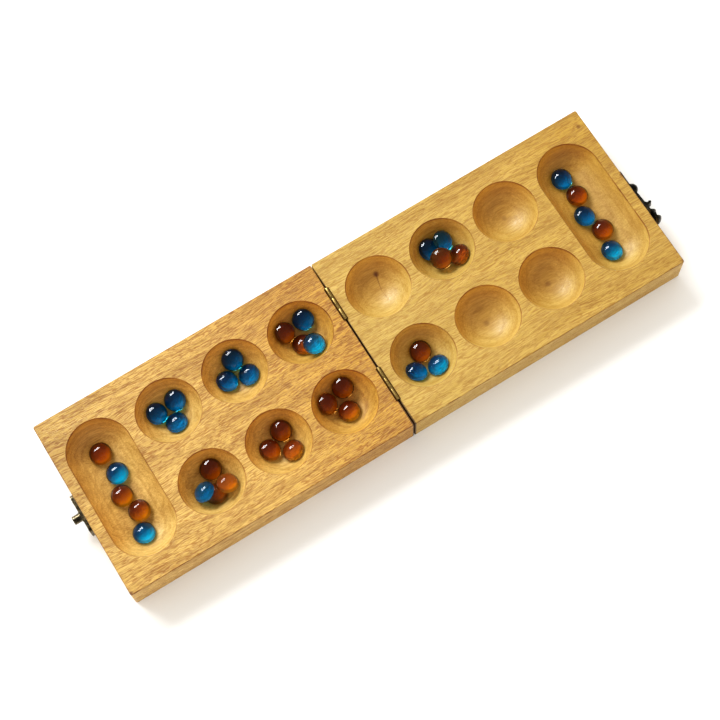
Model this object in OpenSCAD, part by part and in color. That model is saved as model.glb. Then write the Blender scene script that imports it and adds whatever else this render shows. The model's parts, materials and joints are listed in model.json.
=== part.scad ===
// Folding mancala board: two hinged wooden halves with six pits and one store
// each, a swing latch across the outer ends, and glass stones lying in the pits.
// The board lies open and flat: X runs along it, Y across it and Z up.
// The origin is on the underside, at the fold line and the board's centre line.

/* [Board] */
// Length of each wooden half
half_l = 227; // [224:1:236]
// Width of the board
board_w = 140; // [138:1:150]
// Thickness of each half
board_t = 28; // [26:0.5:32]
// Gap between the halves at the seam
seam_gap = 0.7; // [0.6:0.1:0.8]
// Rounding of the halves' outer edges
edge_r = 1; // [0.5:0.1:1.5]

/* [Pits and stores] */
// Radius of a pit, and of a store's round ends, at the rim
pit_r = 23.8; // [23:0.1:24.5]
// Depth of the pits and stores
pit_depth = 16; // [15:0.5:17]
// Distance from the fold line to the nearest pit centres
first_pit_x = 32.4; // [32:0.2:34]
// Spacing of the pits along the board
pit_pitch = 54; // [52:0.5:55]
// Distance of each row of pits from the board's centre line
row_y = 30.2; // [29:0.2:32]
// Distance from the fold line to a store's long axis
store_x = 195.7; // [194:0.1:197]

/* [Stones] */
// Diameter of a glass stone
stone_d = 16.2; // [15:0.1:16.2]
// Height of a glass stone
stone_h = 8; // [7:0.1:8]
// Radius of a stone's rounded rim
stone_rim_r = 2.5; // [2:0.1:3]

/* [Hinges] */
// Length of each hinge along the seam
hinge_l = 27.5; // [26:0.5:30]
// Distance of each hinge's middle from the board's centre line
hinge_y = 35; // [30:1:45]
// Height of the fold axis above the top faces
axis_lift = 0.2; // [0.15:0.05:0.4]
// Radius of the hinge barrel
barrel_r = 1.4; // [1.3:0.05:1.6]
// Radius of the hinge pin
pin_r = 0.65; // [0.6:0.05:0.75]
// Height of a hinge leaf below the fold axis
leaf_h = 9.5; // [9:0.5:12]
// Thickness of a hinge leaf
leaf_t = 0.9; // [0.8:0.05:1]

/* [Latch] */
// Length of the latch plate and the keeper plate
plate_l = 30; // [29:0.5:32]
// Width of both plates
plate_w = 17; // [15:0.5:18]
// Thickness of both plates
plate_t = 2.4; // [2:0.1:2.5]
// Diameter of the keeper's stud
stud_d = 6.4; // [6:0.1:6.8]
// Reach of the stud from the end face
stud_reach = 8.7; // [8:0.1:9.5]
// Thickness of the latch arm
arm_t = 1.7; // [1.5:0.1:2]
// Angle of the resting latch arm above the horizontal
latch_rest = 12; // [0:1:20]

/* [Hidden] */
$fn = 96;
e = 0.01;                      // overlap that makes joined shapes one solid
cut = 1;                       // how far a cutting shape runs past a face

half_gap = seam_gap / 2;
end_x = half_gap + half_l;     // distance of each outer end face from the fold line
axis_z = board_t + axis_lift;  // height of the fold axis

// Pits and stores are cut by one ball, whose lowest point is the pit's bottom
ball_r = (pit_r * pit_r + pit_depth * pit_depth) / (2 * pit_depth);
ball_z = board_t - pit_depth + ball_r;

// A stone's section: a dome that runs into a round rim, which stands just proud of
// the dome and is cut off just above its lowest point by the flat base
rim_proud = 0.02;
base_cut = 0.03;
rim_centre = stone_d / 2 - stone_rim_r;
dome_over_rim = stone_h + rim_proud - stone_rim_r;
dome_z = (dome_over_rim * dome_over_rim - rim_centre * rim_centre - stone_rim_r * stone_rim_r)
    / (2 * (dome_over_rim - stone_rim_r));
dome_r = stone_h - dome_z;
dome_reach = 3 * dome_r;       // size of the wedge that keeps the dome above its rim

// Distance from the ball's centre to the middle of a stone that lies in the hollow
stone_gap = 0.05;
seat_r = sqrt(pow(ball_r - stone_gap - stone_rim_r, 2) - rim_centre * rim_centre);

// Hinge clearances and fasteners
fit = 0.05;                    // running clearance of the pins and the latch rivet
leaf_gap = 0.3;                // gap between a hinge's two leaves
knuckles = 3;
knuckle_gap = 0.15;
notch_r = barrel_r + 0.5;      // round notch in the wood around the barrel
knuckle_l = hinge_l / knuckles;
mortise_side = 0.2;            // room around a leaf in its mortise
leaf_out = leaf_gap / 2 + leaf_t;
screw_y = 8;                   // screws stand this far from the hinge's middle
screw_drop = 5.5;              // and this far below the fold axis
screw_head_r = 1.7;
screw_r = 0.9;
screw_l = 9;
screw_tip_l = 1.5;
slot_w = 0.5;
slot_depth = 0.35;
wood_fit = 0.02;               // room around a shank in the wood

// Latch and keeper
latch_z = board_t / 2;         // height of the rivet and of the stud
catch_r = 2 * (axis_z - latch_z);  // distance from rivet to stud when folded shut
plate_corner_r = 3;
nail_y = plate_l / 2 - 3.4;
boss_h = 0.6;                  // raised middle of the latch plate, under the arm
boss_r = 4.2;
arm_z = plate_t + boss_h + 0.1;
arm_eye_r = 4.6;
arm_root_w = 6.4;
arm_tip_w = 5;
hook_r = 6.6;                  // domed end of the arm
hook_h = stud_reach - arm_z;
hook_fit = 0.25;               // room around the stud in the round end of the hook's slot
slot_narrowing = 0.05;         // the slot's mouth is this much narrower on each side
rivet_r = 1.5;
rivet_head_r = 4.2;
rivet_head_h = 3.6;
rivet_gap = 0.1;
tab_w = 5;                     // curled finger tab
tab_t = 2;
tab_bend_r = 3.3;
tab_r = 15.2;                  // distance of the tab's bend from the rivet
tab_turn = 55;                 // how far past upright the tab curls
tab_lift = 0.1;                // height of the tab's bend above the arm's underside
nail_r = 0.8;
nail_head_r = 1.8;
nail_head_h = 0.5;
nail_l = 9;
nail_tip_l = 2;
shank_r = 1.5;                 // riveted tail of the stud, in the wood
shank_l = 6;
collar_r = 3.8;
collar_h = 0.6;
stud_edge_r = 0.8;

WOOD_LEFT = [0.80, 0.58, 0.30];
WOOD_RIGHT = [0.84, 0.66, 0.37];
BRASS = [0.80, 0.66, 0.34];
BRONZE = [0.27, 0.22, 0.16];
AMBER = [0.72, 0.30, 0.06];
BLUE = [0.04, 0.42, 0.66];

LEFT = -1;
RIGHT = 1;
FRONT = -1;
BACK = 1;

// The stones in each hollow: [side, column, row, stones], where columns 1 to 3
// count from the fold line, column 4 is the store, and a store's row is 0.
// A stone is [colour, x, y] from the hollow's middle, and lies on the hollow's
// surface. One that leans on others adds [lift, lean, heading]: its height off
// the surface, its lean in degrees, and the direction that it leans to.
HOLLOWS = [
    [LEFT, 4, 0, [["amber", -0.5, 32], ["blue", 2.5, 13.5], ["amber", -2.5, -2.5],
        ["amber", 2.5, -18], ["blue", -2.5, -33.5]]],
    [LEFT, 3, BACK, [["blue", 7.8, 7], ["blue", -7.8, 5.5], ["blue", 1, -7.2]]],
    [LEFT, 2, BACK, [["blue", 3.5, 11], ["blue", -7.5, 0], ["blue", 8, -4]]],
    [LEFT, 1, BACK, [["blue", 7.5, 10], ["amber", -8.5, 8.5], ["amber", -1.5, -5],
        ["blue", 5.5, -13.2, 4, 40, 300]]],
    [LEFT, 3, FRONT, [["amber", 4, 10.5], ["amber", -1.5, -6], ["amber", 10.5, -6, 4, 40, 0],
        ["blue", -10, -2.5, 4.5, 50, 150]]],
    [LEFT, 2, FRONT, [["amber", 6, 8.5], ["amber", -7.5, 1], ["amber", 6, -8]]],
    [LEFT, 1, FRONT, [["amber", 5, 12], ["amber", -10.2, 7.5], ["amber", 0.5, -4]]],
    [RIGHT, 2, BACK, [["blue", -6, 8], ["amber", 10, -7.5], ["blue", 6, 8.5, 3.7, 40, 0],
        ["amber", -4.5, -5.5, 5.9, 50, 240]]],
    [RIGHT, 1, FRONT, [["amber", 1.5, 6.5], ["blue", -9, -5], ["blue", 6.5, -9]]],
    [RIGHT, 4, 0, [["blue", -3.5, 33.5], ["amber", -1, 17], ["blue", -5.5, 0.5],
        ["amber", 0, -15], ["blue", -3.5, -32]]]
];

// Every stone with the hollow that it lies in: [side, column, row, stone]
STONES = [for (h = HOLLOWS, s = h[3]) [h[0], h[1], h[2], s]];

function two_digits(n) = str(n < 10 ? "0" : "", n);
function stone_name(i) = str(STONES[i][3][0], "_stone_", two_digits(i + 1));

function hollow_x(side, column) = side * (column == 4 ? store_x
    : first_pit_x + (column - 1) * pit_pitch);

// ---------- wooden halves ----------

// A square with rounded corners, from circles and rectangles
module rounded_plate(x0, x1, y0, y1, r) {
    for (x = [x0 + r, x1 - r], y = [y0 + r, y1 - r]) translate([x, y]) circle(r, $fn = 32);
    translate([x0 + r, y0]) square([x1 - x0 - 2 * r, y1 - y0]);
    translate([x0, y0 + r]) square([x1 - x0, y1 - y0 - 2 * r]);
}

// A block from the seam outwards on the +X side, with its edges rounded
module wood_blank() {
    intersection() {
        linear_extrude(board_t) rounded_plate(half_gap, end_x, -board_w / 2, board_w / 2, edge_r);
        translate([0, board_w / 2, 0]) rotate([90, 0, 0])
            linear_extrude(board_w) rounded_plate(half_gap, end_x, 0, board_t, edge_r / 2);
        translate([half_gap, 0, 0]) rotate([90, 0, 90])
            linear_extrude(half_l) rounded_plate(-board_w / 2, board_w / 2, 0, board_t, edge_r);
    }
}

// The ball that cuts a pit, centred on the pit's axis
module pit_ball() {
    translate([0, 0, ball_z]) sphere(ball_r);
}

// The ball carried from one row to the other, which cuts a store
module store_cutter() {
    for (y = [-row_y, row_y]) translate([0, y, 0]) pit_ball();
    translate([0, row_y, ball_z]) rotate([90, 0, 0]) cylinder(h = 2 * row_y, r = ball_r);
}

// Recess for one hinge's leaf and barrel in the +X half's seam face
module hinge_recess() {
    recess_l = hinge_l + 2 * mortise_side;
    recess_h = leaf_h + mortise_side;
    translate([0, -recess_l / 2, axis_z - recess_h])
        cube([leaf_out, recess_l, recess_h + cut]);
    translate([0, recess_l / 2, axis_z]) rotate([90, 0, 0]) cylinder(h = recess_l, r = notch_r);
    for (y = [-screw_y, screw_y]) translate([0, y, axis_z - screw_drop]) rotate([0, 90, 0]) {
        cylinder(h = leaf_gap / 2 + screw_l - screw_tip_l, r = screw_r + wood_fit);
        translate([0, 0, leaf_gap / 2 + screw_l - screw_tip_l - e])
            cylinder(h = screw_tip_l + wood_fit, r1 = screw_r + wood_fit, r2 = wood_fit);
    }
}

// Holes for a plate's two nails and its middle fastener, in the +X end face
module plate_holes() {
    for (y = [-nail_y, nail_y]) translate([end_x - nail_l, y, latch_z]) rotate([0, 90, 0])
        cylinder(h = nail_l + cut, r = nail_r + wood_fit);
    translate([end_x - shank_l, 0, latch_z]) rotate([0, 90, 0])
        cylinder(h = shank_l + cut, r = shank_r + wood_fit);
}

// One half, on the +X side
module board_half() {
    difference() {
        wood_blank();
        for (i = [1:3], y = [-row_y, row_y]) translate([hollow_x(RIGHT, i), y, 0]) pit_ball();
        translate([store_x, 0, 0]) store_cutter();
        for (y = [-hinge_y, hinge_y]) translate([0, y, 0]) hinge_recess();
        plate_holes();
    }
}

module left_board() {
    color(WOOD_LEFT) mirror([1, 0, 0]) board_half();
}

module right_board() {
    color(WOOD_RIGHT) board_half();
}

// ---------- hinges ----------

// Ends of knuckle k along the hinge, with half the gap left at each inner end
function knuckle_start(k) = -hinge_l / 2 + k * knuckle_l + (k > 0 ? knuckle_gap / 2 : 0);
function knuckle_end(k) = -hinge_l / 2 + (k + 1) * knuckle_l
    - (k < knuckles - 1 ? knuckle_gap / 2 : 0);

// A cylinder along Y on the fold axis, from y0 to y1
module on_axis(y0, y1, r) {
    translate([0, y1, axis_z]) rotate([90, 0, 0]) cylinder(h = y1 - y0, r = r);
}

// A leaf on the +X side with its knuckles: own = 0 has the outer ones, 1 the middle one
module hinge_leaf(own) {
    difference() {
        union() {
            translate([leaf_gap / 2, -hinge_l / 2, axis_z - leaf_h])
                cube([leaf_t, hinge_l, leaf_h]);
            for (k = [own:2:knuckles - 1]) on_axis(knuckle_start(k), knuckle_end(k), barrel_r);
        }
        on_axis(-hinge_l / 2 - cut, hinge_l / 2 + cut, pin_r + fit);
        for (k = [1 - own:2:knuckles - 1]) {
            past_start = k == 0 ? cut : knuckle_gap;
            past_end = k == knuckles - 1 ? cut : knuckle_gap;
            on_axis(knuckle_start(k) - past_start, knuckle_end(k) + past_end,
                barrel_r + mortise_side);
        }
        for (y = [-screw_y, screw_y]) translate([leaf_gap / 2, y, axis_z - screw_drop])
            rotate([0, 90, 0]) {
                translate([0, 0, -e])
                    cylinder(h = leaf_t + 2 * e, r1 = screw_head_r + fit, r2 = screw_r + fit);
                cylinder(h = leaf_t + cut, r = screw_r + fit);
            }
    }
}

// Two countersunk screws that hold a leaf on the +X side
module leaf_screws() {
    for (y = [-screw_y, screw_y]) translate([leaf_gap / 2, y, axis_z - screw_drop])
        rotate([0, 90, 0]) difference() {
            union() {
                cylinder(h = leaf_t, r1 = screw_head_r, r2 = screw_r);
                cylinder(h = screw_l - screw_tip_l, r = screw_r);
                translate([0, 0, screw_l - screw_tip_l])
                    cylinder(h = screw_tip_l, r1 = screw_r, r2 = 0);
            }
            translate([-screw_head_r - cut, -slot_w / 2, -cut])
                cube([2 * (screw_head_r + cut), slot_w, cut + slot_depth]);
        }
}

module hinge_part(side, part) {
    y = side * hinge_y;
    translate([0, y, 0]) color(BRASS) {
        if (part == "left_leaf") mirror([1, 0, 0]) hinge_leaf(0);
        if (part == "right_leaf") hinge_leaf(1);
        if (part == "pin") on_axis(-hinge_l / 2, hinge_l / 2, pin_r);
        if (part == "left_screws") mirror([1, 0, 0]) leaf_screws();
        if (part == "right_screws") leaf_screws();
    }
}

// ---------- latch and keeper ----------

// Moves a shape drawn flat, with +Z outwards, onto the +X end face
module on_end_face() {
    translate([end_x, 0, latch_z]) rotate([0, 90, 0]) children();
}

// Plate outline, a rectangle with round corners and its length along Y
module plate_outline() {
    r = plate_corner_r;
    offset(r) square([plate_w - 2 * r, plate_l - 2 * r], center = true);
}

module fixing_plate() {
    difference() {
        linear_extrude(plate_t) plate_outline();
        for (y = [-nail_y, nail_y]) translate([0, y, -cut])
            cylinder(h = plate_t + 2 * cut, r = nail_r + fit);
        translate([0, 0, -cut]) cylinder(h = plate_t + 2 * cut, r = shank_r + fit);
    }
}

// A cap of a ball, with its flat side down, base radius r and height h
module dome(r, h) {
    ball = (r * r + h * h) / (2 * h);
    intersection() {
        translate([0, 0, h - ball]) sphere(ball);
        cylinder(h = h + cut, r = r + cut);
    }
}

// Two domed nails through a plate into the wood
module plate_nails() {
    for (y = [-nail_y, nail_y]) translate([0, y, 0]) {
        translate([0, 0, plate_t]) dome(nail_head_r, nail_head_h);
        translate([0, 0, nail_tip_l - nail_l])
            cylinder(h = nail_l - nail_tip_l + plate_t + nail_head_h / 2, r = nail_r);
        translate([0, 0, -nail_l]) cylinder(h = nail_tip_l, r1 = 0.1, r2 = nail_r);
    }
}

module keeper_plate() {
    color(BRONZE) mirror([1, 0, 0]) on_end_face() fixing_plate();
}

// Stud section: a riveted tail, a collar, and a body with a rounded end
module keeper_stud() {
    body_r = stud_d / 2;
    color(BRONZE) mirror([1, 0, 0]) on_end_face() rotate_extrude() {
        translate([0, -shank_l]) square([shank_r, shank_l + plate_t + e]);
        translate([0, plate_t]) square([collar_r, collar_h]);
        translate([0, plate_t]) square([body_r, stud_reach - plate_t - stud_edge_r]);
        translate([0, plate_t]) square([body_r - stud_edge_r, stud_reach - plate_t]);
        translate([body_r - stud_edge_r, stud_reach - stud_edge_r]) circle(stud_edge_r, $fn = 32);
    }
}

module keeper_nails() {
    color(BRONZE) mirror([1, 0, 0]) on_end_face() plate_nails();
}

// Plate with a raised middle that holds the arm clear of the nail heads
module latch_plate() {
    color(BRONZE) on_end_face() difference() {
        union() {
            fixing_plate();
            cylinder(h = plate_t + boss_h, r = boss_r);
        }
        translate([0, 0, -cut]) cylinder(h = plate_t + boss_h + 2 * cut, r = shank_r + fit);
    }
}

// Arm drawn along +X from the rivet, with the hook's slot open towards -Y
module arm_shape() {
    slot_r = stud_d / 2 + hook_fit;
    mouth_r = slot_r - slot_narrowing;
    difference() {
        union() {
            cylinder(h = arm_t, r = arm_eye_r);
            linear_extrude(arm_t) polygon([[0, -arm_root_w / 2], [catch_r, -arm_tip_w / 2],
                [catch_r, arm_tip_w / 2], [0, arm_root_w / 2]]);
            translate([catch_r, 0, 0]) dome(hook_r, hook_h);
            finger_tab();
        }
        translate([0, 0, -cut]) cylinder(h = arm_t + 2 * cut, r = rivet_r + fit);
        translate([catch_r, 0, -cut]) cylinder(h = hook_h + 2 * cut, r = slot_r);
        translate([0, 0, -cut]) rotate([0, 0, -30]) rotate_extrude(angle = 30)
            translate([catch_r - mouth_r, 0]) square([2 * mouth_r, hook_h + 2 * cut]);
    }
}

// Strip that curls up off the arm for a fingertip
module finger_tab() {
    inner_r = tab_bend_r - tab_t;
    translate([tab_r, tab_w / 2, tab_lift + tab_bend_r]) rotate([90, 0, 0]) linear_extrude(tab_w)
        difference() {
            circle(tab_bend_r);
            circle(inner_r);
            translate([-2 * tab_bend_r, -2 * tab_bend_r])
                square([2 * tab_bend_r, 4 * tab_bend_r]);
            rotate(tab_turn) square(2 * tab_bend_r);
        }
}

module latch_arm() {
    color(BRONZE) on_end_face() rotate(-90 - latch_rest) translate([0, 0, arm_z]) arm_shape();
}

// Rivet through the arm and the plate into the wood, with a domed head
module latch_rivet() {
    head_z = arm_z + arm_t + rivet_gap;
    color(BRONZE) on_end_face() {
        translate([0, 0, -shank_l]) cylinder(h = shank_l + head_z + e, r = rivet_r);
        translate([0, 0, head_z]) dome(rivet_head_r, rivet_head_h);
    }
}

module latch_nails() {
    color(BRONZE) on_end_face() plate_nails();
}

// ---------- stones ----------

// Half section of a stone, right of its axis, with the middle of its rim at the origin
module stone_section() {
    translate([0, -stone_rim_r]) intersection() {
        translate([0, base_cut]) square([stone_d, stone_h]);
        union() {
            translate([rim_centre, stone_rim_r]) circle(stone_rim_r);
            square([rim_centre, stone_rim_r]);
            intersection() {
                translate([0, dome_z]) circle(dome_r, $fn = 128);
                polygon([[0, dome_z], [0, dome_z + dome_reach],
                    [dome_reach * rim_centre / (stone_rim_r - dome_z), dome_z + dome_reach]]);
            }
        }
    }
}

// A stone in its hollow: it lies on the ball's surface, with its dome to the ball's middle
module stone(i) {
    side = STONES[i][0];
    column = STONES[i][1];
    row = STONES[i][2];
    s = STONES[i][3];
    along = column == 4 ? max(-row_y, min(row_y, s[2])) : row * row_y;
    off_y = column == 4 ? s[2] - along : s[2];
    off = norm([s[1], off_y]);
    heading = atan2(off_y, s[1]);
    slope = asin(off / seat_r);
    lift = len(s) > 3 ? s[3] : 0;
    lean = len(s) > 3 ? s[4] : 0;
    lean_to = len(s) > 3 ? s[5] : 0;
    color(s[0] == "blue" ? BLUE : AMBER)
        translate([hollow_x(side, column), along, ball_z])
        rotate([0, 0, heading]) rotate([0, -slope, 0]) rotate([0, 0, -heading])
        translate([0, 0, lift - seat_r])
        rotate([0, 0, lean_to]) rotate([0, lean, 0]) rotate([0, 0, -lean_to])
        rotate_extrude() stone_section();
}

left_board();
right_board();
for (h = [["back_hinge", BACK], ["front_hinge", FRONT]], p = ["left_leaf", "right_leaf", "pin",
        "left_screws", "right_screws"])
    hinge_part(h[1], p);
keeper_plate();
keeper_stud();
keeper_nails();
latch_plate();
latch_arm();
latch_rivet();
latch_nails();
for (i = [0:len(STONES) - 1]) stone(i);
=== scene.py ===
import json
import math
import random

import bmesh
import bpy
from mathutils import Euler, Matrix, Vector
from mathutils.geometry import delaunay_2d_cdt


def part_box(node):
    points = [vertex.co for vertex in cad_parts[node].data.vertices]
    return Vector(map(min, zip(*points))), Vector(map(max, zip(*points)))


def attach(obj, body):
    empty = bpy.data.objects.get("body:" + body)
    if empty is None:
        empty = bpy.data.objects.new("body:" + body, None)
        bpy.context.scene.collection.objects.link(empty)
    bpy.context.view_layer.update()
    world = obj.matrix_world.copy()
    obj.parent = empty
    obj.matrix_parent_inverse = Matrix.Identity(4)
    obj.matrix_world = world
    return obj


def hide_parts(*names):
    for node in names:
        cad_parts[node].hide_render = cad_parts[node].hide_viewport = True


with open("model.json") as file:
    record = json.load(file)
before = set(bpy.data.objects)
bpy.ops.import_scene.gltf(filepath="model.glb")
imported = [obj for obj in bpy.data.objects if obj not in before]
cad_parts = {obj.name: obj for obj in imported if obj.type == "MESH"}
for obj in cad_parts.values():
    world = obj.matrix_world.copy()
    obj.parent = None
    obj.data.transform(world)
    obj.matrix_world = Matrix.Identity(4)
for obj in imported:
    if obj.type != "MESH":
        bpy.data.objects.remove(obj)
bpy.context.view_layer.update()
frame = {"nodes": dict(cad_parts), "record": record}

MM = 0.001
scene = bpy.context.scene
nodes = frame["nodes"]
record = frame["record"]

# ---------------------------------------------------------------- camera

camera_data = bpy.data.cameras.new("camera")
camera_data.lens = 92.5
camera_data.sensor_width = 36.0
camera_data.clip_start = 0.01
camera_data.clip_end = 50.0
camera = bpy.data.objects.new("camera", camera_data)
camera.location = (-0.1917, -0.3616, 1.2677)
camera.rotation_euler = Euler([math.radians(a) for a in (17.72, 1.30, -31.68)], "XYZ")
scene.collection.objects.link(camera)
scene.camera = camera

scene.view_settings.view_transform = "Standard"
scene.view_settings.look = "Medium High Contrast"

# ---------------------------------------------------------------- sizes of the object

lo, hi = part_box("right_board")
SEAM_X, END_X = lo.x, hi.x
HALF_W, BOARD_T = hi.y, hi.z
PIT_R = 23.8 * MM
PIT_DEPTH = 16 * MM
FIRST_PIT_X = 32.4 * MM
PIT_PITCH = 54 * MM
ROW_Y = 30.2 * MM
STORE_X = 195.7 * MM
BALL_R = (PIT_R ** 2 + PIT_DEPTH ** 2) / (2 * PIT_DEPTH)
BALL_Z = BOARD_T - PIT_DEPTH + BALL_R
HOLLOWS = [(FIRST_PIT_X + i * PIT_PITCH, 0.0, s * ROW_Y) for i in range(3) for s in (-1, 1)]
HOLLOWS.append((STORE_X, ROW_Y, 0.0))    # each: middle x, half the straight length, middle y
RIM_EASE = 0.35 * MM
EDGE_EASE = 0.6 * MM
OUTER_CORNER_R = 1.5 * MM
SEAM_CORNER_R = 0.8 * MM
HINGE_Y = 35 * MM
RECESS_HALF_L = (27.5 / 2 + 0.2) * MM
AXIS_Z = 28.2 * MM
NOTCH_R = 1.9 * MM
MORTISE_X = 1.05 * MM
MORTISE_Z = AXIS_Z - 9.7 * MM


# ---------------------------------------------------------------- mesh helpers

class Shell:
    """Collects faces, and joins corners that lie in the same place."""

    def __init__(self):
        self.points = []
        self.index = {}
        self.faces = []

    def corner(self, p):
        key = (round(p[0] * 1e7), round(p[1] * 1e7), round(p[2] * 1e7))
        if key not in self.index:
            self.index[key] = len(self.points)
            self.points.append(Vector(p))
        return self.index[key]

    def face(self, points):
        ids = []
        for p in points:
            i = self.corner(p)
            if i not in ids:
                ids.append(i)
        if len(ids) > 2:
            self.faces.append(ids)

    def strip(self, rings, closed=True):
        """Quads between successive rings that all have the same number of points."""
        for a, b in zip(rings, rings[1:]):
            n = len(a)
            for i in range(n if closed else n - 1):
                j = (i + 1) % n
                self.face([a[i], a[j], b[j], b[i]])

    def mesh(self, name):
        mesh = bpy.data.meshes.new(name)
        mesh.from_pydata([tuple(p) for p in self.points], [], self.faces)
        mesh.validate()
        return mesh


def add_attributes(mesh, **values):
    """Number attributes on the mesh's points, each from a function of a point's place."""
    for name in values:
        mesh.attributes.new(name, "FLOAT", "POINT")
    for name, value in values.items():
        data = mesh.attributes[name].data
        for v in mesh.vertices:
            data[v.index].value = value(v.co)


def add_piece(node, suffix, mesh, material):
    """Shows a mesh in place of a CAD node, on the same body, with the given material."""
    piece = bpy.data.objects.new(node + suffix, mesh)
    scene.collection.objects.link(piece)
    mesh.materials.clear()
    mesh.materials.append(material)
    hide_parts(node)
    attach(piece, body_of(node))


def body_of(node):
    return next(b for b, members in record["behaviour"]["bodies"].items() if node in members)


def slot_of(node):
    return next(s["material_slot"] for s in record["subparts"] if s["node"] == node)


# ---------------------------------------------------------------- node helpers

class Graph:
    """Short calls for building a node tree."""

    def __init__(self, name):
        self.material = bpy.data.materials.new(name)
        self.material.use_nodes = True
        self.tree = self.material.node_tree
        self.tree.nodes.clear()
        self.out = self.tree.nodes.new("ShaderNodeOutputMaterial")

    def link(self, value, socket):
        if isinstance(value, bpy.types.NodeSocket):
            self.tree.links.new(value, socket)
        else:
            socket.default_value = value

    def math(self, op, a, b=0.0, clamp=False):
        n = self.tree.nodes.new("ShaderNodeMath")
        n.operation = op
        n.use_clamp = clamp
        self.link(a, n.inputs[0])
        self.link(b, n.inputs[1])
        return n.outputs[0]

    def weighted(self, *terms):
        """The sum of (value, weight) terms."""
        total = None
        for value, weight in terms:
            part = self.math("MULTIPLY", value, weight)
            total = part if total is None else self.math("ADD", total, part)
        return total

    def vector(self, op, a, b=(0, 0, 0), scale=None):
        n = self.tree.nodes.new("ShaderNodeVectorMath")
        n.operation = op
        self.link(a, n.inputs[0])
        self.link(b, n.inputs[1])
        if scale is not None:
            self.link(scale, n.inputs["Scale"])
        single = op in ("LENGTH", "DISTANCE", "DOT_PRODUCT")
        return n.outputs["Value"] if single else n.outputs["Vector"]

    def stretched(self, vector, along, across):
        """A space scaled by one factor along X and by another across it."""
        return self.vector("MULTIPLY", vector, (along, across, across))

    def noise(self, vector, scale=1.0, detail=2.0, rough=0.5, colour=False):
        n = self.tree.nodes.new("ShaderNodeTexNoise")
        n.noise_dimensions = "3D"
        self.link(vector, n.inputs["Vector"])
        n.inputs["Scale"].default_value = scale
        n.inputs["Detail"].default_value = detail
        n.inputs["Roughness"].default_value = rough
        return n.outputs["Color"] if colour else n.outputs[0]

    def voronoi(self, vector):
        n = self.tree.nodes.new("ShaderNodeTexVoronoi")
        self.link(vector, n.inputs["Vector"])
        n.inputs["Scale"].default_value = 1.0
        return n.outputs

    def rescale(self, value, from_lo, from_hi, to_lo=0.0, to_hi=1.0, smooth=True):
        n = self.tree.nodes.new("ShaderNodeMapRange")
        n.interpolation_type = "SMOOTHSTEP" if smooth else "LINEAR"
        self.link(value, n.inputs["Value"])
        n.inputs["From Min"].default_value = from_lo
        n.inputs["From Max"].default_value = from_hi
        n.inputs["To Min"].default_value = to_lo
        n.inputs["To Max"].default_value = to_hi
        return n.outputs["Result"]

    def mix(self, factor, a, b, kind="MIX"):
        n = self.tree.nodes.new("ShaderNodeMix")
        n.data_type = "RGBA"
        n.blend_type = kind
        self.link(factor, n.inputs[0])
        for value, socket in ((a, n.inputs[6]), (b, n.inputs[7])):
            if isinstance(value, tuple) and len(value) == 3:
                value = value + (1.0,)
            self.link(value, socket)
        return n.outputs[2]

    def tinted(self, factor, colour, tint):
        """The colour, multiplied by a tint as far as the factor says."""
        return self.mix(factor, colour, self.mix(1.0, colour, tint, "MULTIPLY"))

    def coordinates(self):
        """Object coordinates in millimetres."""
        n = self.tree.nodes.new("ShaderNodeTexCoord")
        return self.vector("SCALE", n.outputs["Object"], scale=1000.0)

    def normal(self):
        """The surface's normal in the object's own space."""
        return self.tree.nodes.new("ShaderNodeTexCoord").outputs["Normal"]

    def split(self, vector):
        n = self.tree.nodes.new("ShaderNodeSeparateXYZ")
        self.link(vector, n.inputs[0])
        return n.outputs

    def join(self, x, y, z):
        n = self.tree.nodes.new("ShaderNodeCombineXYZ")
        for value, socket in zip((x, y, z), n.inputs):
            self.link(value, socket)
        return n.outputs[0]

    def attribute(self, name):
        n = self.tree.nodes.new("ShaderNodeAttribute")
        n.attribute_name = name
        return n.outputs["Fac"]

    def bump(self, height, distance, strength=1.0, normal=None):
        n = self.tree.nodes.new("ShaderNodeBump")
        n.inputs["Strength"].default_value = strength
        n.inputs["Distance"].default_value = distance
        self.link(height, n.inputs["Height"])
        if normal is not None:
            self.link(normal, n.inputs["Normal"])
        return n.outputs[0]

    def principled(self, **inputs):
        n = self.tree.nodes.new("ShaderNodeBsdfPrincipled")
        for name, value in inputs.items():
            self.link(value, n.inputs[name.replace("_", " ")])
        self.tree.links.new(n.outputs[0], self.out.inputs["Surface"])
        return n


# ---------------------------------------------------------------- wood

GRAIN_SHIFT = Vector((371.0, 53.0, 29.0))    # a seed moves the grain by this many millimetres
PITH_Y, PITH_Z = -18.0, -120.0               # the tree's middle lies far below the board
PITH_SLOPE = 0.02                            # how fast it falls away along X
TOWARD_KEY_LIGHT = (-0.24, 0.97, 0.0)                 # level, towards the key light: to the rear and a little to the left


def growth_layers(g, bent, shift):
    """How much late wood: shells about the pith, each darkening outwards."""
    x, y, z = g.split(bent)
    across = g.math("SUBTRACT", y, shift.y + PITH_Y)
    below = g.math("SUBTRACT", z, shift.z + PITH_Z)
    below = g.math("ADD", below, g.math("MULTIPLY", g.math("SUBTRACT", x, shift.x), PITH_SLOPE))
    shell = g.math("SQRT", g.math("ADD", g.math("POWER", across, 2.0),
                                  g.math("POWER", below, 2.0)))
    wander = g.noise(g.stretched(bent, 0.012, 0.09), 1.0, 3.0)
    layer = g.math("FRACT", g.weighted((shell, 0.21), (wander, 2.6)))
    return g.math("MULTIPLY", g.rescale(layer, 0.30, 0.93), g.rescale(layer, 1.0, 0.95))


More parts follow.
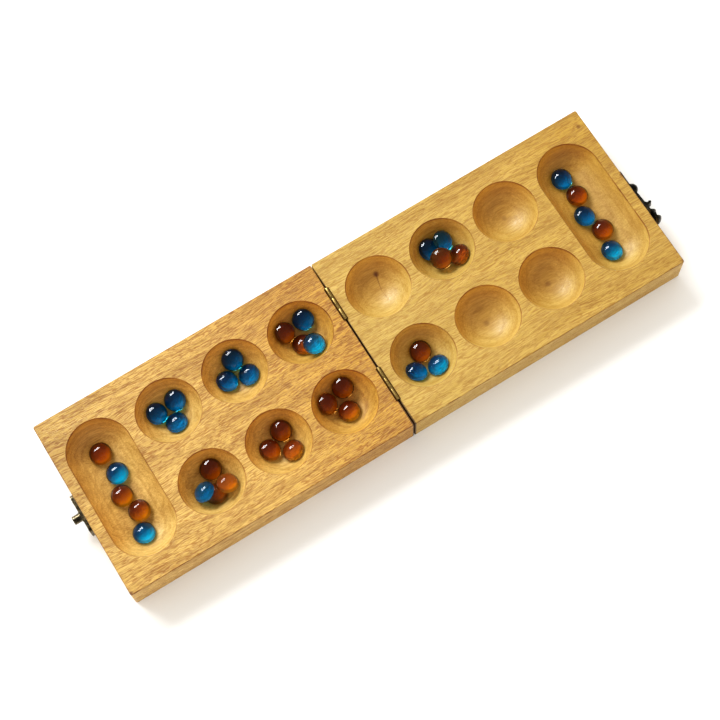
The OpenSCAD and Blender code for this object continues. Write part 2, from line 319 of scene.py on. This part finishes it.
def open_pores(g, place, bent):
    """Short pores in patches, fine ones between them, and thin lines along the grain."""
    cell = g.voronoi(g.stretched(bent, 0.15, 1.70))
    short = g.math("MULTIPLY", g.rescale(cell["Distance"], 0.42, 0.26),
                   g.rescale(g.split(cell["Color"])[0], 0.30, 0.55))
    fine = g.rescale(g.voronoi(g.stretched(bent, 0.35, 2.3))["Distance"], 0.42, 0.16)
    patches = g.rescale(g.noise(g.stretched(place, 0.014, 0.045), 1.0, 2.0),
                        0.34, 0.66, 0.35, 1.0)
    pores = g.math("MAXIMUM", g.math("MULTIPLY", short, patches), g.math("MULTIPLY", fine, 0.5))
    contour = g.noise(g.stretched(bent, 0.065, 0.80), 1.0, 1.5, 0.6)
    lines = g.rescale(g.math("ABSOLUTE", g.math("SUBTRACT", contour, 0.5)), 0.070, 0.015)
    return g.math("MAXIMUM", pores, g.math("MULTIPLY", lines, 0.9))


def turned_finish_and_painted_light(g, colour, hollow, cloudy, seed):
    """The colour in a hollow, with painted light and shade on its walls and the marks a round cutter
    leaves, and the height of those marks.
    """
    ring = g.math("MULTIPLY", g.attribute("ring"), 1000.0)
    faces_key_light = g.rescale(g.vector("DOT_PRODUCT", g.normal(), TOWARD_KEY_LIGHT), -0.6, 0.6)

    # painted light and shade: the wall that faces the key light is painted paler, the other one
    # darker, with deeper painted shade under its rim
    lit_and_shaded_wall_tint = g.mix(faces_key_light, (1.07, 0.86, 0.58), (1.04, 1.10, 1.32))
    colour = g.tinted(hollow, colour, lit_and_shaded_wall_tint)
    painted_wall_shade = g.rescale(g.math("ADD", ring, g.math("MULTIPLY", cloudy, 8.0)), 18.0, 28.0)
    painted_wall_shade = g.math("MULTIPLY", painted_wall_shade, g.math("MULTIPLY", hollow, 0.35))
    painted_wall_shade = g.math("MULTIPLY", painted_wall_shade, g.rescale(faces_key_light, 0.0, 1.0, 1.0, 0.15))
    colour = g.tinted(painted_wall_shade, colour, (0.92, 0.70, 0.42))

    # a broken dark line at the rim, partly burnt and partly painted shade, and darker short grain at
    # the bottom
    burnt_and_shaded_rim = g.math("MULTIPLY", g.rescale(ring, 23.0, 23.7), g.rescale(cloudy, 0.30, 0.60, 0.35, 1.0))
    colour = g.tinted(g.math("MULTIPLY", burnt_and_shaded_rim, hollow), colour, (0.50, 0.30, 0.16))
    bottom = g.rescale(g.math("ADD", ring, g.math("MULTIPLY", cloudy, 12.0)), 13.0, 6.0)
    bottom = g.math("MULTIPLY", bottom, g.math("MULTIPLY", hollow, 0.3))
    colour = g.tinted(bottom, colour, (0.82, 0.74, 0.58))

    # turning marks: dark and pale rings
    across_rings = g.math("ADD", g.math("MULTIPLY", ring, 0.55), cloudy)
    marks = g.noise(g.join(across_rings, seed * 3.1, 0.0), 1.0, 4.0, 0.7)
    for from_lo, from_hi, share, tint in ((0.45, 0.65, 0.45, (0.82, 0.72, 0.54)),
                                          (0.47, 0.32, 0.80, (1.07, 1.09, 1.14))):
        rings = g.rescale(marks, from_lo, from_hi, 0.0, share)
        colour = g.tinted(g.math("MULTIPLY", hollow, rings), colour, tint)
    return colour, marks


def with_knots(g, colour, here, drift, cloudy, knots):
    """Dark knots and dents, each a place in millimetres, a size and a darkness."""
    for spot, size, darkness in knots:
        moved = g.vector("ADD", here, g.vector("MULTIPLY", drift, (0.0, size * 1.5, 0.0)))
        away = g.math("ADD", g.vector("DISTANCE", moved, spot), g.math("MULTIPLY", cloudy, size))
        mark = g.math("MULTIPLY", g.rescale(away, size * 1.7, size * 0.7), darkness)
        colour = g.tinted(mark, colour, (0.40, 0.24, 0.12))
    return colour


def with_cracks(g, colour, here, cloudy, cracks):
    """Fine dark cracks, each from one (x, y) to another, a half width and a darkness."""
    flat = g.vector("MULTIPLY", here, (1.0, 1.0, 0.0))
    wavy = g.math("MULTIPLY", g.math("SUBTRACT", cloudy, 0.5), 1.6)
    for start, end, half_width, darkness in cracks:
        reach = Vector(end + (0.0,)) - Vector(start + (0.0,))
        from_start = g.vector("SUBTRACT", flat, start + (0.0,))
        along = g.vector("DOT_PRODUCT", from_start, tuple(reach / reach.length_squared))
        along = g.math("ADD", along, 0.0, clamp=True)
        off = g.vector("SUBTRACT", from_start, g.vector("SCALE", tuple(reach), scale=along))
        away = g.math("ABSOLUTE", g.math("ADD", g.vector("LENGTH", off), wavy))
        mark = g.math("MULTIPLY", g.rescale(away, half_width * 1.6, half_width * 0.6), darkness)
        colour = g.tinted(mark, colour, (0.45, 0.30, 0.16))
    return colour


def wood(name, seed, pale, deep, seam_tint, end_tint, pore_tint, fibre_share, knots, cracks=()):
    """Lacquered hardwood: growth layers, fibres and open pores run through it along X."""
    g = Graph(name)
    shift = seed * GRAIN_SHIFT
    here = g.coordinates()
    place = g.vector("ADD", here, tuple(shift))
    x_here, y_here, _ = g.split(here)
    from_middle = g.math("ABSOLUTE", x_here)
    drift = g.vector("SUBTRACT", g.noise(g.stretched(place, 0.006, 0.022), colour=True),
                     (0.5, 0.5, 0.5))
    bent = g.vector("ADD", place, g.vector("MULTIPLY", drift, (0.0, 22.0, 22.0)))

    # broad bands of colour, streaks and fine fibres
    bands, streak, fibre = (
        g.rescale(g.noise(g.stretched(bent, along, across), 1.0, detail, rough),
                  0.36, 0.64, smooth=False)
        for along, across, detail, rough in ((0.010, 0.085, 3.0, 0.55), (0.050, 1.00, 2.0, 0.50),
                                             (0.150, 1.80, 3.0, 0.65)))
    late = growth_layers(g, bent, shift)
    tone = g.weighted((late, 0.20), (bands, 0.30), (streak, 0.5 - fibre_share),
                      (fibre, fibre_share))
    colour = g.mix(g.rescale(tone, 0.12, 0.90, smooth=False), pale, deep)

    # one tint comes in towards the seam, another towards the rear outer corner
    colour = g.tinted(g.rescale(from_middle, 150.0, 0.0), colour, seam_tint)
    near_end = g.math("MULTIPLY", g.rescale(from_middle, 150.0, 222.0),
                      g.rescale(y_here, -35.0, 50.0))
    colour = g.tinted(near_end, colour, end_tint)

    # the cutter closes most pores in the hollows
    hollow = g.attribute("hollow")
    pores = open_pores(g, place, bent)
    clear = g.math("SUBTRACT", 1.0, g.math("MULTIPLY", hollow, 0.6))
    colour = g.tinted(g.math("MULTIPLY", pores, clear), colour, pore_tint)
    cloudy = g.noise(g.stretched(place, 0.05, 0.09), 1.0, 3.0, 0.5)
    colour, marks = turned_finish_and_painted_light(g, colour, hollow, cloudy, seed)
    colour = with_knots(g, colour, here, drift, cloudy, knots)
    colour = with_cracks(g, colour, here, cloudy, cracks)

    # handled edges are a little grubby; the hinge recesses and the seam get painted shade, in a
    # band that gets wider towards the front
    grime = g.noise(g.vector("MULTIPLY", place, (0.12, 0.12, 0.6)), 1.0, 4.0, 0.65)
    edge = g.math("MULTIPLY", g.attribute("edge"), g.rescale(grime, 0.36, 0.60, 0.15, 0.90))
    colour = g.tinted(edge, colour, (0.45, 0.30, 0.18))
    # painted shade: the seam and the hinge recesses are darkened
    from_seam = g.math("ADD", from_middle, g.math("MULTIPLY", y_here, 0.009))
    dark = g.math("MAXIMUM", g.attribute("recess"), g.rescale(from_seam, 1.05, 0.45))
    colour = g.tinted(g.math("MULTIPLY", dark, 0.9), colour, (0.14, 0.09, 0.06))

    height = g.math("SUBTRACT", g.math("MULTIPLY", fibre, 0.4), pores)
    normal = g.bump(g.math("MULTIPLY", height, clear), 0.00014, 0.6)
    normal = g.bump(g.math("MULTIPLY", marks, hollow), 0.00016, 0.35, normal)
    gloss = g.math("ADD", g.rescale(bands, 0.0, 1.0, 0.38, 0.45), g.math("MULTIPLY", pores, 0.15))
    g.principled(Base_Color=colour, Roughness=gloss, IOR=1.48, Specular_IOR_Level=0.6,
                 Normal=normal)
    return g.material


WOOD = {
    -1: wood("wood_left", 1.0, pale=(0.670, 0.445, 0.125), deep=(0.385, 0.210, 0.034),
             seam_tint=(0.86, 0.74, 0.44), end_tint=(0.80, 0.78, 0.74),
             pore_tint=(0.58, 0.40, 0.16), fibre_share=0.26,
             knots=[((-226.5, -68.3, 28.0), 1.6, 0.9), ((-60.0, 1.0, 28.0), 3.0, 0.35),
                    ((-6.0, 55.0, 28.0), 1.3, 0.6)]),
    1: wood("wood_right", 2.0, pale=(0.525, 0.345, 0.080), deep=(0.375, 0.215, 0.030),
            seam_tint=(1.06, 1.12, 1.30), end_tint=(0.90, 0.84, 0.60),
            pore_tint=(0.72, 0.58, 0.36), fibre_share=0.16,
            knots=[((221.7, 58.0, 28.0), 2.0, 0.75), ((38.0, 43.0, 16.2), 2.4, 0.95),
                   ((227.0, 10.0, 28.0), 1.8, 0.9), ((227.2, -69.0, 28.0), 2.6, 0.8),
                   ((227.3, -61.0, 28.0), 1.6, 0.6), ((86.0, -30.0, 12.0), 2.6, 0.45),
                   ((140.0, -28.0, 12.0), 3.0, 0.5), ((141.0, 31.0, 12.0), 2.6, 0.4)],
            cracks=[((38.0, 43.0), (35.6, 31.0), 0.35, 0.55),
                    ((35.6, 31.0), (36.4, 21.0), 0.30, 0.25)]),
}


# ---------------------------------------------------------------- boards

def hollow_profile():
    """(distance from the hollow's middle, height) from the top face down to the bottom."""
    ease_z = BOARD_T - RIM_EASE
    ease_r = math.sqrt((BALL_R + RIM_EASE) ** 2 - (BALL_Z - ease_z) ** 2)
    turn = math.asin(ease_r / (BALL_R + RIM_EASE))
    rim_steps, wall_steps = 7, 22
    profile = []
    for i in range(rim_steps + 1):
        a = math.pi / 2 + i / rim_steps * turn
        profile.append((ease_r + RIM_EASE * math.cos(a), ease_z + RIM_EASE * math.sin(a)))
    for i in range(1, wall_steps + 1):
        a = turn * (1 - i / wall_steps)
        profile.append((BALL_R * math.sin(a), BALL_Z - BALL_R * math.cos(a)))
    return profile


def hollow_loop(cx, half, cy, r, z, n=96, side=16):
    """A circle, or where half isn't 0 two half circles joined by straight sides along Y.

    n is the number of steps round the circle, and side that along a straight side."""
    points = []
    for end, start in ((1, 0.0), (-1, math.pi)):
        for k in range(n // 2 + 1):
            a = start + math.pi * k / (n // 2)
            points.append((cx + r * math.cos(a), cy + end * half + r * math.sin(a), z))
        for k in range(1, side if half else 0):
            points.append((cx - end * r, cy + end * half * (1 - 2 * k / side), z))
    if not half:
        del points[n // 2 + 1]
        points.pop()
    return points


def from_hollows(x, y):
    """Distance from the middle, or the middle line, of the nearest hollow."""
    return min(math.hypot(x - cx, max(0.0, abs(y - cy) - half)) for cx, half, cy in HOLLOWS)


def triangulate(shell, loops, wanted, to_point):
    """Fills the flat region between loops of 2D points; wanted(x, y) says what belongs to it."""
    points, edges = [], []
    for loop in loops:
        start = len(points)
        points += [Vector(p) for p in loop]
        edges += [(start + i, start + (i + 1) % len(loop)) for i in range(len(loop))]
    found = delaunay_2d_cdt(points, edges, [], 0, 1e-9)
    for triangle in found[2]:
        corners = [found[0][i] for i in triangle]
        middle = (corners[0] + corners[1] + corners[2]) / 3
        if wanted(middle.x, middle.y):
            shell.face([to_point(c.x, c.y) for c in corners])


CORNER_STEPS = 8
FIRST_RECESS = 2 * (CORNER_STEPS + 1)    # two corners lie before it on the outline
RECESS_COLUMNS = (FIRST_RECESS, FIRST_RECESS + 2)    # outline points that start a hinge recess


def board_outline(inset):
    """The half's outline moved inwards, with points at the ends of the hinge recesses."""
    points = []
    corners = [(END_X, HALF_W, OUTER_CORNER_R, 0), (SEAM_X, HALF_W, SEAM_CORNER_R, 90),
               (SEAM_X, -HALF_W, SEAM_CORNER_R, 180), (END_X, -HALF_W, OUTER_CORNER_R, 270)]
    for x, y, r, start in corners:
        cx = x - r if x == END_X else x + r
        cy = y - r if y > 0 else y + r
        for k in range(CORNER_STEPS + 1):
            a = math.radians(start + 90 * k / CORNER_STEPS)
            points.append((cx + (r - inset) * math.cos(a), cy + (r - inset) * math.sin(a)))
        if start == 90:
            for yy in (HINGE_Y + RECESS_HALF_L, HINGE_Y - RECESS_HALF_L,
                       -HINGE_Y + RECESS_HALF_L, -HINGE_Y - RECESS_HALF_L):
                points.append((SEAM_X + inset, yy))
    return points


def board_mesh(name):
    """One wooden half on the +X side, with hollows, eased edges and hinge recesses."""
    shell = Shell()
    profile = hollow_profile()
    rims = []
    for hollow in HOLLOWS:
        rings = [hollow_loop(*hollow, r, z) for r, z in profile]
        shell.strip(rings)
        rims.append([p[:2] for p in rings[0]])
    rim_r = profile[0][0]

    # rings from the underside, round the edges, up the sides and on to the top face
    ease_steps = 6
    quarter = [math.radians(90 * k / ease_steps) for k in range(ease_steps + 1)]
    levels = [(EDGE_EASE * (1 - math.sin(a)), EDGE_EASE * (1 - math.cos(a))) for a in quarter]
    levels.append((0.0, MORTISE_Z))
    levels += [(EDGE_EASE * (1 - math.cos(a)), BOARD_T - EDGE_EASE * (1 - math.sin(a)))
               for a in quarter]
    rings = [[(x, y, z) for x, y in board_outline(inset)] for inset, z in levels]
    shell.face(rings[0])
    n = len(rings[0])
    mortise_level = len(quarter)
    for level, (a, b) in enumerate(zip(rings, rings[1:])):
        for i in range(n):
            if i in RECESS_COLUMNS and level >= mortise_level:
                continue
            j = (i + 1) % n
            shell.face([a[i], a[j], b[j], b[i]])

    # hinge recesses: a mortise for the leaf, and a round notch for the barrel
    low = math.acos(MORTISE_X / NOTCH_R)
    high = math.asin((AXIS_Z - BOARD_T) / NOTCH_R)
    notch_steps = 8
    section = [(SEAM_X, MORTISE_Z), (MORTISE_X, MORTISE_Z)]
    for k in range(notch_steps + 1):
        a = low + (high - low) * k / notch_steps
        section.append((NOTCH_R * math.cos(a), AXIS_Z - NOTCH_R * math.sin(a)))
    top_loop = [p[:2] for p in rings[-1]]
    for i in sorted(RECESS_COLUMNS, reverse=True):
        ends = (rings[0][i][1], rings[0][i + 1][1])
        shell.strip([[(x, y, z) for x, z in section] for y in ends], closed=False)
        for column in (i, i + 1):
            y = rings[0][column][1]
            wall = [ring[column] for ring in rings[mortise_level:]]
            shell.face(wall + [(x, y, z) for x, z in reversed(section[1:])])
        top_loop[i + 1:i + 1] = [(section[-1][0], y) for y in ends]

    def on_top(x, y):
        in_recess = x < section[-1][0] and abs(abs(y) - HINGE_Y) < RECESS_HALF_L
        return from_hollows(x, y) >= rim_r - 1e-6 and not in_recess

    triangulate(shell, [top_loop] + rims, on_top, lambda x, y: (x, y, BOARD_T))
    mesh = shell.mesh(name)
    mark_wood(mesh, rim_r)
    return mesh


def mark_wood(mesh, rim_r):
    """Attributes that tell the wood where hollows, handled edges and hinge recesses are."""
    def in_hollow(p):
        return from_hollows(p.x, p.y) < rim_r - 0.2 * MM

    def on_edge(p):
        outer = max(p.x - END_X, abs(p.y) - HALF_W) > -EDGE_EASE
        return outer and BOARD_T - 0.9 * EDGE_EASE < p.z < BOARD_T - 0.02 * EDGE_EASE

    def in_recess(p):
        near_hinge = abs(abs(p.y) - HINGE_Y) < RECESS_HALF_L + 0.01 * MM
        return p.x < NOTCH_R and near_hinge and 0.5 * BOARD_T < p.z < BOARD_T - 0.01 * MM

    add_attributes(mesh, hollow=lambda p: float(in_hollow(p)),
                   ring=lambda p: from_hollows(p.x, p.y) if in_hollow(p) else rim_r,
                   edge=lambda p: float(on_edge(p)), recess=lambda p: float(in_recess(p)))


def finish_flats(mesh):
    """Normals that point out, smooth curves, and sharp edges round the flat faces."""
    work = bmesh.new()
    work.from_mesh(mesh)
    bmesh.ops.recalc_face_normals(work, faces=work.faces)
    for face in work.faces:
        face.smooth = True
    for edge in work.edges:
        if len(edge.link_faces) != 2:
            edge.smooth = False
            continue
        a, b = edge.link_faces
        beside_flat = max(abs(c) for face in (a, b) for c in face.normal) > 0.999999
        turn = a.normal.angle(b.normal, 0.0)
        if turn > math.radians(32) or (beside_flat and turn > math.radians(1)):
            edge.smooth = False
    work.to_mesh(mesh)
    work.free()


for side, node in ((-1, "left_board"), (1, "right_board")):
    mesh = board_mesh(node)
    if side < 0:
        mesh.transform(Matrix.Scale(-1, 4, (1, 0, 0)))
    finish_flats(mesh)
    add_piece(node, "_wood", mesh, WOOD[side])


# ---------------------------------------------------------------- metal

def aged_metal(name, bright, dark, wear, rough, dark_from, crown_rub_and_highlight=0.0):
    """Plated metal with tarnish in broad patches, fine scratches and small pits.

    rough is the least and the most roughness, dark_from the noise level at which tarnish
    sets in, and crown says how much the parts that face up are rubbed bright and their flanks
    tarnished, partly real wear and partly a painted highlight on top and painted shade on the sides."""
    g = Graph(name)
    place = g.coordinates()
    patches = g.noise(place, 0.35, 4.0, 0.6)
    mottle = g.noise(place, 1.1, 4.0, 0.6)
    scratch = g.noise(g.vector("MULTIPLY", place, (0.9, 7.0, 1.3)), 1.0, 3.0, 0.7)
    pits = g.rescale(g.voronoi(g.vector("MULTIPLY", place, (1.5, 1.5, 1.5)))["Distance"],
                     0.22, 0.05)
    mask = g.weighted((patches, 0.6), (mottle, 0.4))
    tarnish = g.rescale(mask, dark_from - 0.12, dark_from + 0.14)
    # painted highlight and shade: up-facing parts bright, their flanks darker, on top of real
    # rubbing
    if crown_rub_and_highlight:
        flank_tarnish_and_shade = g.rescale(g.split(g.normal())[2], 0.92, 0.60)
        tarnish = g.weighted((tarnish, 1.0 - crown_rub_and_highlight), (flank_tarnish_and_shade, crown_rub_and_highlight))
    colour = g.mix(tarnish, bright, dark)
    colour = g.mix(g.rescale(scratch, 0.58, 0.70, 0.0, 0.55), colour, wear)
    colour = g.mix(g.math("MULTIPLY", pits, 0.6), colour, dark)
    dull = g.math("ADD", g.rescale(mottle, 0.3, 0.7, *rough), g.math("MULTIPLY", pits, 0.2))
    height = g.math("SUBTRACT", g.math("MULTIPLY", mottle, 0.6),
                    g.math("ADD", pits, g.math("MULTIPLY", scratch, 0.3)))
    g.principled(Base_Color=colour, Metallic=1.0, Roughness=dull,
                 Normal=g.bump(height, 0.00003, 0.4))
    return g.material


METALS = {
    "hinge_brass": aged_metal("hinge_brass", bright=(0.84, 0.59, 0.20), dark=(0.13, 0.08, 0.03),
                              wear=(0.93, 0.74, 0.38), rough=(0.20, 0.40), dark_from=0.52,
                              crown_rub_and_highlight=0.8),
    "hinge_screws": aged_metal("hinge_screws", bright=(0.66, 0.46, 0.18),
                               dark=(0.22, 0.14, 0.05), wear=(0.90, 0.72, 0.40),
                               rough=(0.28, 0.50), dark_from=0.52),
    "keeper_bronze": aged_metal("keeper_bronze", bright=(0.34, 0.27, 0.15),
                                dark=(0.06, 0.05, 0.035), wear=(0.66, 0.58, 0.40),
                                rough=(0.25, 0.45), dark_from=0.44),
    "latch_bronze": aged_metal("latch_bronze", bright=(0.085, 0.078, 0.062),
                               dark=(0.022, 0.019, 0.016), wear=(0.20, 0.19, 0.15),
                               rough=(0.25, 0.42), dark_from=0.46),
}
SMALL_METAL = ("pin", "screws", "nails")    # words in the names of the small pieces
EASE, SMALL_EASE = 0.16 * MM, 0.06 * MM     # how far their edges are rounded


def refined_mesh(node, bevel):
    """The CAD node's shape with its flats merged and its edges eased."""
    work = bmesh.new()
    work.from_mesh(nodes[node].data)
    bmesh.ops.remove_doubles(work, verts=work.verts, dist=1e-7)
    bmesh.ops.dissolve_limit(work, angle_limit=math.radians(0.6), verts=work.verts,
                             edges=work.edges, use_dissolve_boundaries=False)
    bmesh.ops.recalc_face_normals(work, faces=work.faces)
    mesh = bpy.data.meshes.new(node + "_fine")
    work.to_mesh(mesh)
    work.free()
    temporary = bpy.data.objects.new(node + "_work", mesh)
    scene.collection.objects.link(temporary)
    modifier = temporary.modifiers.new("ease", "BEVEL")
    modifier.width = bevel
    modifier.segments = 3
    modifier.limit_method = "ANGLE"
    modifier.angle_limit = math.radians(35)
    modifier.use_clamp_overlap = True
    graph = bpy.context.evaluated_depsgraph_get()
    fine = bpy.data.meshes.new_from_object(temporary.evaluated_get(graph))
    bpy.data.objects.remove(temporary)
    finish_flats(fine)
    return fine


METAL_NODES = [n for n in nodes if "hinge" in n or n.startswith(("keeper", "latch"))]
for node in METAL_NODES:
    ease = SMALL_EASE if any(word in node for word in SMALL_METAL) else EASE
    add_piece(node, "_metal", refined_mesh(node, ease), METALS[slot_of(node)])


# ---------------------------------------------------------------- glass stones

def glass(name, tint, absorb, density, foil_lo, foil_hi, foil_share, deep_tint):
    """Clear tinted glass over a diffuse base that is painted with light, and a painted dark outline
    low round its rim.

    foil_lo and foil_hi colour the base from its dim side to its bright one; the bright side,
    away from the key light, is a painted caustic."""
    g = Graph(name)
    place = g.coordinates()
    ripple = g.noise(place, 0.45, 2.0, 0.5)
    smear = g.noise(g.vector("MULTIPLY", place, (2.2, 0.8, 1.2)), 1.0, 4.0, 0.6)
    normal = g.bump(ripple, 0.0003, 0.10)
    # painted shade: the glass is tinted dark low round its rim, a painted outline
    rim_shade_tint = tuple(0.30 * c for c in tint)
    colour = g.mix(g.attribute("rim"), tint, rim_shade_tint)
    polish = g.math("MAXIMUM", g.rescale(smear, 0.45, 0.75, 0.01, 0.09),
                    g.math("MULTIPLY", g.attribute("base"), 0.5))
    surface = g.principled(Base_Color=colour, Transmission_Weight=1.0, IOR=1.5,
                           Roughness=polish, Specular_IOR_Level=0.25, Normal=normal)
    base = g.tree.nodes.new("ShaderNodeBsdfDiffuse")
    # painted caustic: the base is painted brighter, and more of it shows, on the side away from the
    # key light
    glow = g.math("ADD", g.attribute("glow"), g.rescale(smear, 0.30, 0.70, -0.1, 0.1))
    painted_light_foil = g.mix(g.rescale(glow, 0.2, 0.95), foil_lo, foil_hi)
    g.link(g.tinted(g.attribute("deep"), painted_light_foil, deep_tint), base.inputs["Color"])
    both = g.tree.nodes.new("ShaderNodeMixShader")
    g.link(g.math("MULTIPLY", g.attribute("base"),
                  g.rescale(glow, 0.35, 0.8, foil_share, 0.95)), both.inputs[0])
    g.tree.links.new(surface.outputs[0], both.inputs[1])
    g.tree.links.new(base.outputs[0], both.inputs[2])
    g.tree.links.new(both.outputs[0], g.out.inputs["Surface"])
    volume = g.tree.nodes.new("ShaderNodeVolumeAbsorption")
    volume.inputs["Color"].default_value = absorb + (1.0,)
    volume.inputs["Density"].default_value = density
    g.tree.links.new(volume.outputs[0], g.out.inputs["Volume"])
    return g.material


GLASS = {
    "blue": glass("blue_glass", tint=(0.80, 0.98, 1.0), absorb=(0.0, 0.91, 0.99), density=215.0,
                  foil_lo=(0.0, 0.15, 0.44), foil_hi=(0.0, 0.88, 1.0), foil_share=0.65,
                  deep_tint=(0.80, 0.48, 0.68)),
    "amber": glass("amber_glass", tint=(1.0, 0.92, 0.82), absorb=(0.94, 0.66, 0.0),
                   density=155.0, foil_lo=(0.74, 0.14, 0.0), foil_hi=(1.0, 0.62, 0.01),
                   foil_share=0.45, deep_tint=(0.80, 0.60, 0.50)),
}
STONE_R = 8.05 * MM
STONE_RIM_R = 2.5 * MM
STONE_H = 7.95 * MM
RIM_TOP = 5.2 * MM      # a stone's painted dark outline ends at this height
RIM_FADE = 0.9 * MM     # and is at its darkest this far below it
PAINTED_CAUSTIC_REACH = 11 * MM    # across which the base's painted light goes from dim to bright
PAINTED_CAUSTIC_TOWARDS = Vector((0.25, -0.97, 0.0))    # the side of a stone's base painted bright, away from the key light
PALE_STONES = (2, 3, 4, 5, 15, 18, 22, 25, 32, 37)    # the others are pressed from deeper glass


def stone_pose(node):
    """Where a stone's flat base is, and the way its dome points, from its CAD solid."""
    groups = {}
    for polygon in nodes[node].data.polygons:
        key = tuple(round(c, 3) for c in polygon.normal)
        area, middle = groups.get(key, (0.0, Vector()))
        groups[key] = (area + polygon.area, middle + polygon.area * polygon.center)
    base_normal = max(groups, key=lambda k: groups[k][0])
    area, middle = groups[base_normal]
    return middle / area, -Vector(base_normal).normalized()


def stone_profile(radius, rim, height):
    """(distance from the axis, height) from the middle of the base to the top of the dome."""
    centre = radius - rim
    over = height - rim
    dome_z = (over ** 2 - centre ** 2 - rim ** 2) / (2 * (over - rim))
    dome_r = height - dome_z
    join = math.atan2(rim - dome_z, centre)
    base_steps, rim_steps, dome_steps = 6, 12, 24
    points = [(centre * k / base_steps, 0.0) for k in range(base_steps)]
    for k in range(rim_steps + 1):
        a = -math.pi / 2 + (join + math.pi / 2) * k / rim_steps
        points.append((centre + rim * math.cos(a), rim + rim * math.sin(a)))
    for k in range(1, dome_steps + 1):
        a = join + (math.pi / 2 - join) * k / dome_steps
        points.append((dome_r * math.cos(a), dome_z + dome_r * math.sin(a)))
    return points


def stone_mesh(name, luck):
    """A pressed glass stone, very slightly out of round."""
    shell = Shell()
    steps = 72
    phase = [luck.uniform(0, 2 * math.pi) for _ in range(3)]    # the third one is spare
    size = [luck.uniform(0.0, 0.012), luck.uniform(0.0, 0.008)]
    rings = []
    for r, z in stone_profile(STONE_R, STONE_RIM_R, STONE_H):
        ring = []
        for k in range(steps):
            a = 2 * math.pi * k / steps
            squeeze = (1 - size[0] * (0.5 + 0.5 * math.cos(2 * a + phase[0]))
                       - size[1] * (0.5 + 0.5 * math.cos(3 * a + phase[1])))
            ring.append((r * squeeze * math.cos(a), r * squeeze * math.sin(a), z))
        rings.append(ring)
    shell.strip(rings)
    mesh = shell.mesh(name)

    def at_base(p):
        return p.z < 0.01 * MM

    # painted shade for the dark outline: none on the base and above RIM_TOP, full RIM_FADE below it
    def rim_shade(p):
        return 0.0 if at_base(p) else min(1.0, max(0.0, (RIM_TOP - p.z) / RIM_FADE))

    add_attributes(mesh, base=lambda p: float(at_base(p)), rim=rim_shade)
    work = bmesh.new()
    work.from_mesh(mesh)
    bmesh.ops.recalc_face_normals(work, faces=work.faces)
    for face in work.faces:
        face.smooth = True
    work.to_mesh(mesh)
    work.free()
    return mesh


luck = random.Random(11)
STONES = sorted(n for n in nodes if "_stone_" in n)
for node in STONES:
    base, up = stone_pose(node)
    mesh = stone_mesh(node + "_glass", luck)
    mesh.transform(Matrix.Translation(base) @ up.to_track_quat("Z", "Y").to_matrix().to_4x4())
    deep = float(int(node[-2:]) not in PALE_STONES)
    # painted caustic: how far each base point lies towards the side away from the key light
    add_attributes(mesh, glow=lambda p: 0.5 + (p - base).dot(PAINTED_CAUSTIC_TOWARDS) / PAINTED_CAUSTIC_REACH,
                   deep=lambda p: deep)
    add_piece(node, "_glass", mesh, GLASS[node.split("_")[0]])


# ---------------------------------------------------------------- floor and light

FLOOR_HALF = 6.0
FLOOR_GAP = 0.2 * MM      # keeps the floor just clear of the board's underside
SKY_COLOUR = (1.0, 0.965, 0.90, 1.0)
SKY_HORIZON, SKY_ZENITH = 1.75, 0.50
REFLECTED_SKY = 0.20      # reflections see dark flags round the set

g = Graph("floor")
g.principled(Base_Color=(0.90, 0.90, 0.90, 1.0), Roughness=0.9)
floor_mesh = bpy.data.meshes.new("floor")
floor_mesh.from_pydata([(x * FLOOR_HALF, y * FLOOR_HALF, 0) for x, y in
                        ((-1, -1), (1, -1), (1, 1), (-1, 1))], [], [(0, 1, 2, 3)])
floor_mesh.materials.append(g.material)
floor = bpy.data.objects.new("floor", floor_mesh)
floor.location.z = -FLOOR_GAP
scene.collection.objects.link(floor)

world = bpy.data.worlds.new("world")
scene.world = world
world.use_nodes = True
sky = world.node_tree.nodes
sky_links = world.node_tree.links
sky_place = sky.new("ShaderNodeTexCoord")
sky_split = sky.new("ShaderNodeSeparateXYZ")
sky_ramp = sky.new("ShaderNodeMapRange")
sky_ramp.inputs["To Min"].default_value = SKY_HORIZON
sky_ramp.inputs["To Max"].default_value = SKY_ZENITH
sky_path = sky.new("ShaderNodeLightPath")
sky_level = sky.new("ShaderNodeMapRange")
sky_level.inputs["To Max"].default_value = REFLECTED_SKY
sky_links.new(sky_place.outputs["Generated"], sky_split.inputs[0])
sky_links.new(sky_split.outputs["Z"], sky_ramp.inputs["Value"])
sky_links.new(sky_path.outputs["Is Glossy Ray"], sky_level.inputs["Value"])
sky_links.new(sky_ramp.outputs["Result"], sky_level.inputs["To Min"])
sky_links.new(sky_level.outputs["Result"], sky["Background"].inputs["Strength"])
sky["Background"].inputs["Color"].default_value = SKY_COLOUR


def softbox(name, azimuth, elevation, distance, size, energy, colour):
    """A rectangular light that faces the board from an azimuth (from +X towards +Y)."""
    data = bpy.data.lights.new(name, "AREA")
    data.shape = "RECTANGLE"
    data.size, data.size_y = size
    data.energy = energy
    data.color = colour
    lamp = bpy.data.objects.new(name, data)
    a, e = math.radians(azimuth), math.radians(elevation)
    lamp.location = (distance * math.cos(e) * math.cos(a), distance * math.cos(e) * math.sin(a),
                     distance * math.sin(e))
    lamp.rotation_euler = (-lamp.location).to_track_quat("-Z", "Y").to_euler()
    scene.collection.objects.link(lamp)


softbox("key_light", azimuth=104, elevation=40, distance=2.2, size=(1.6, 0.7), energy=49.0,
        colour=(0.97, 1.0, 1.03))
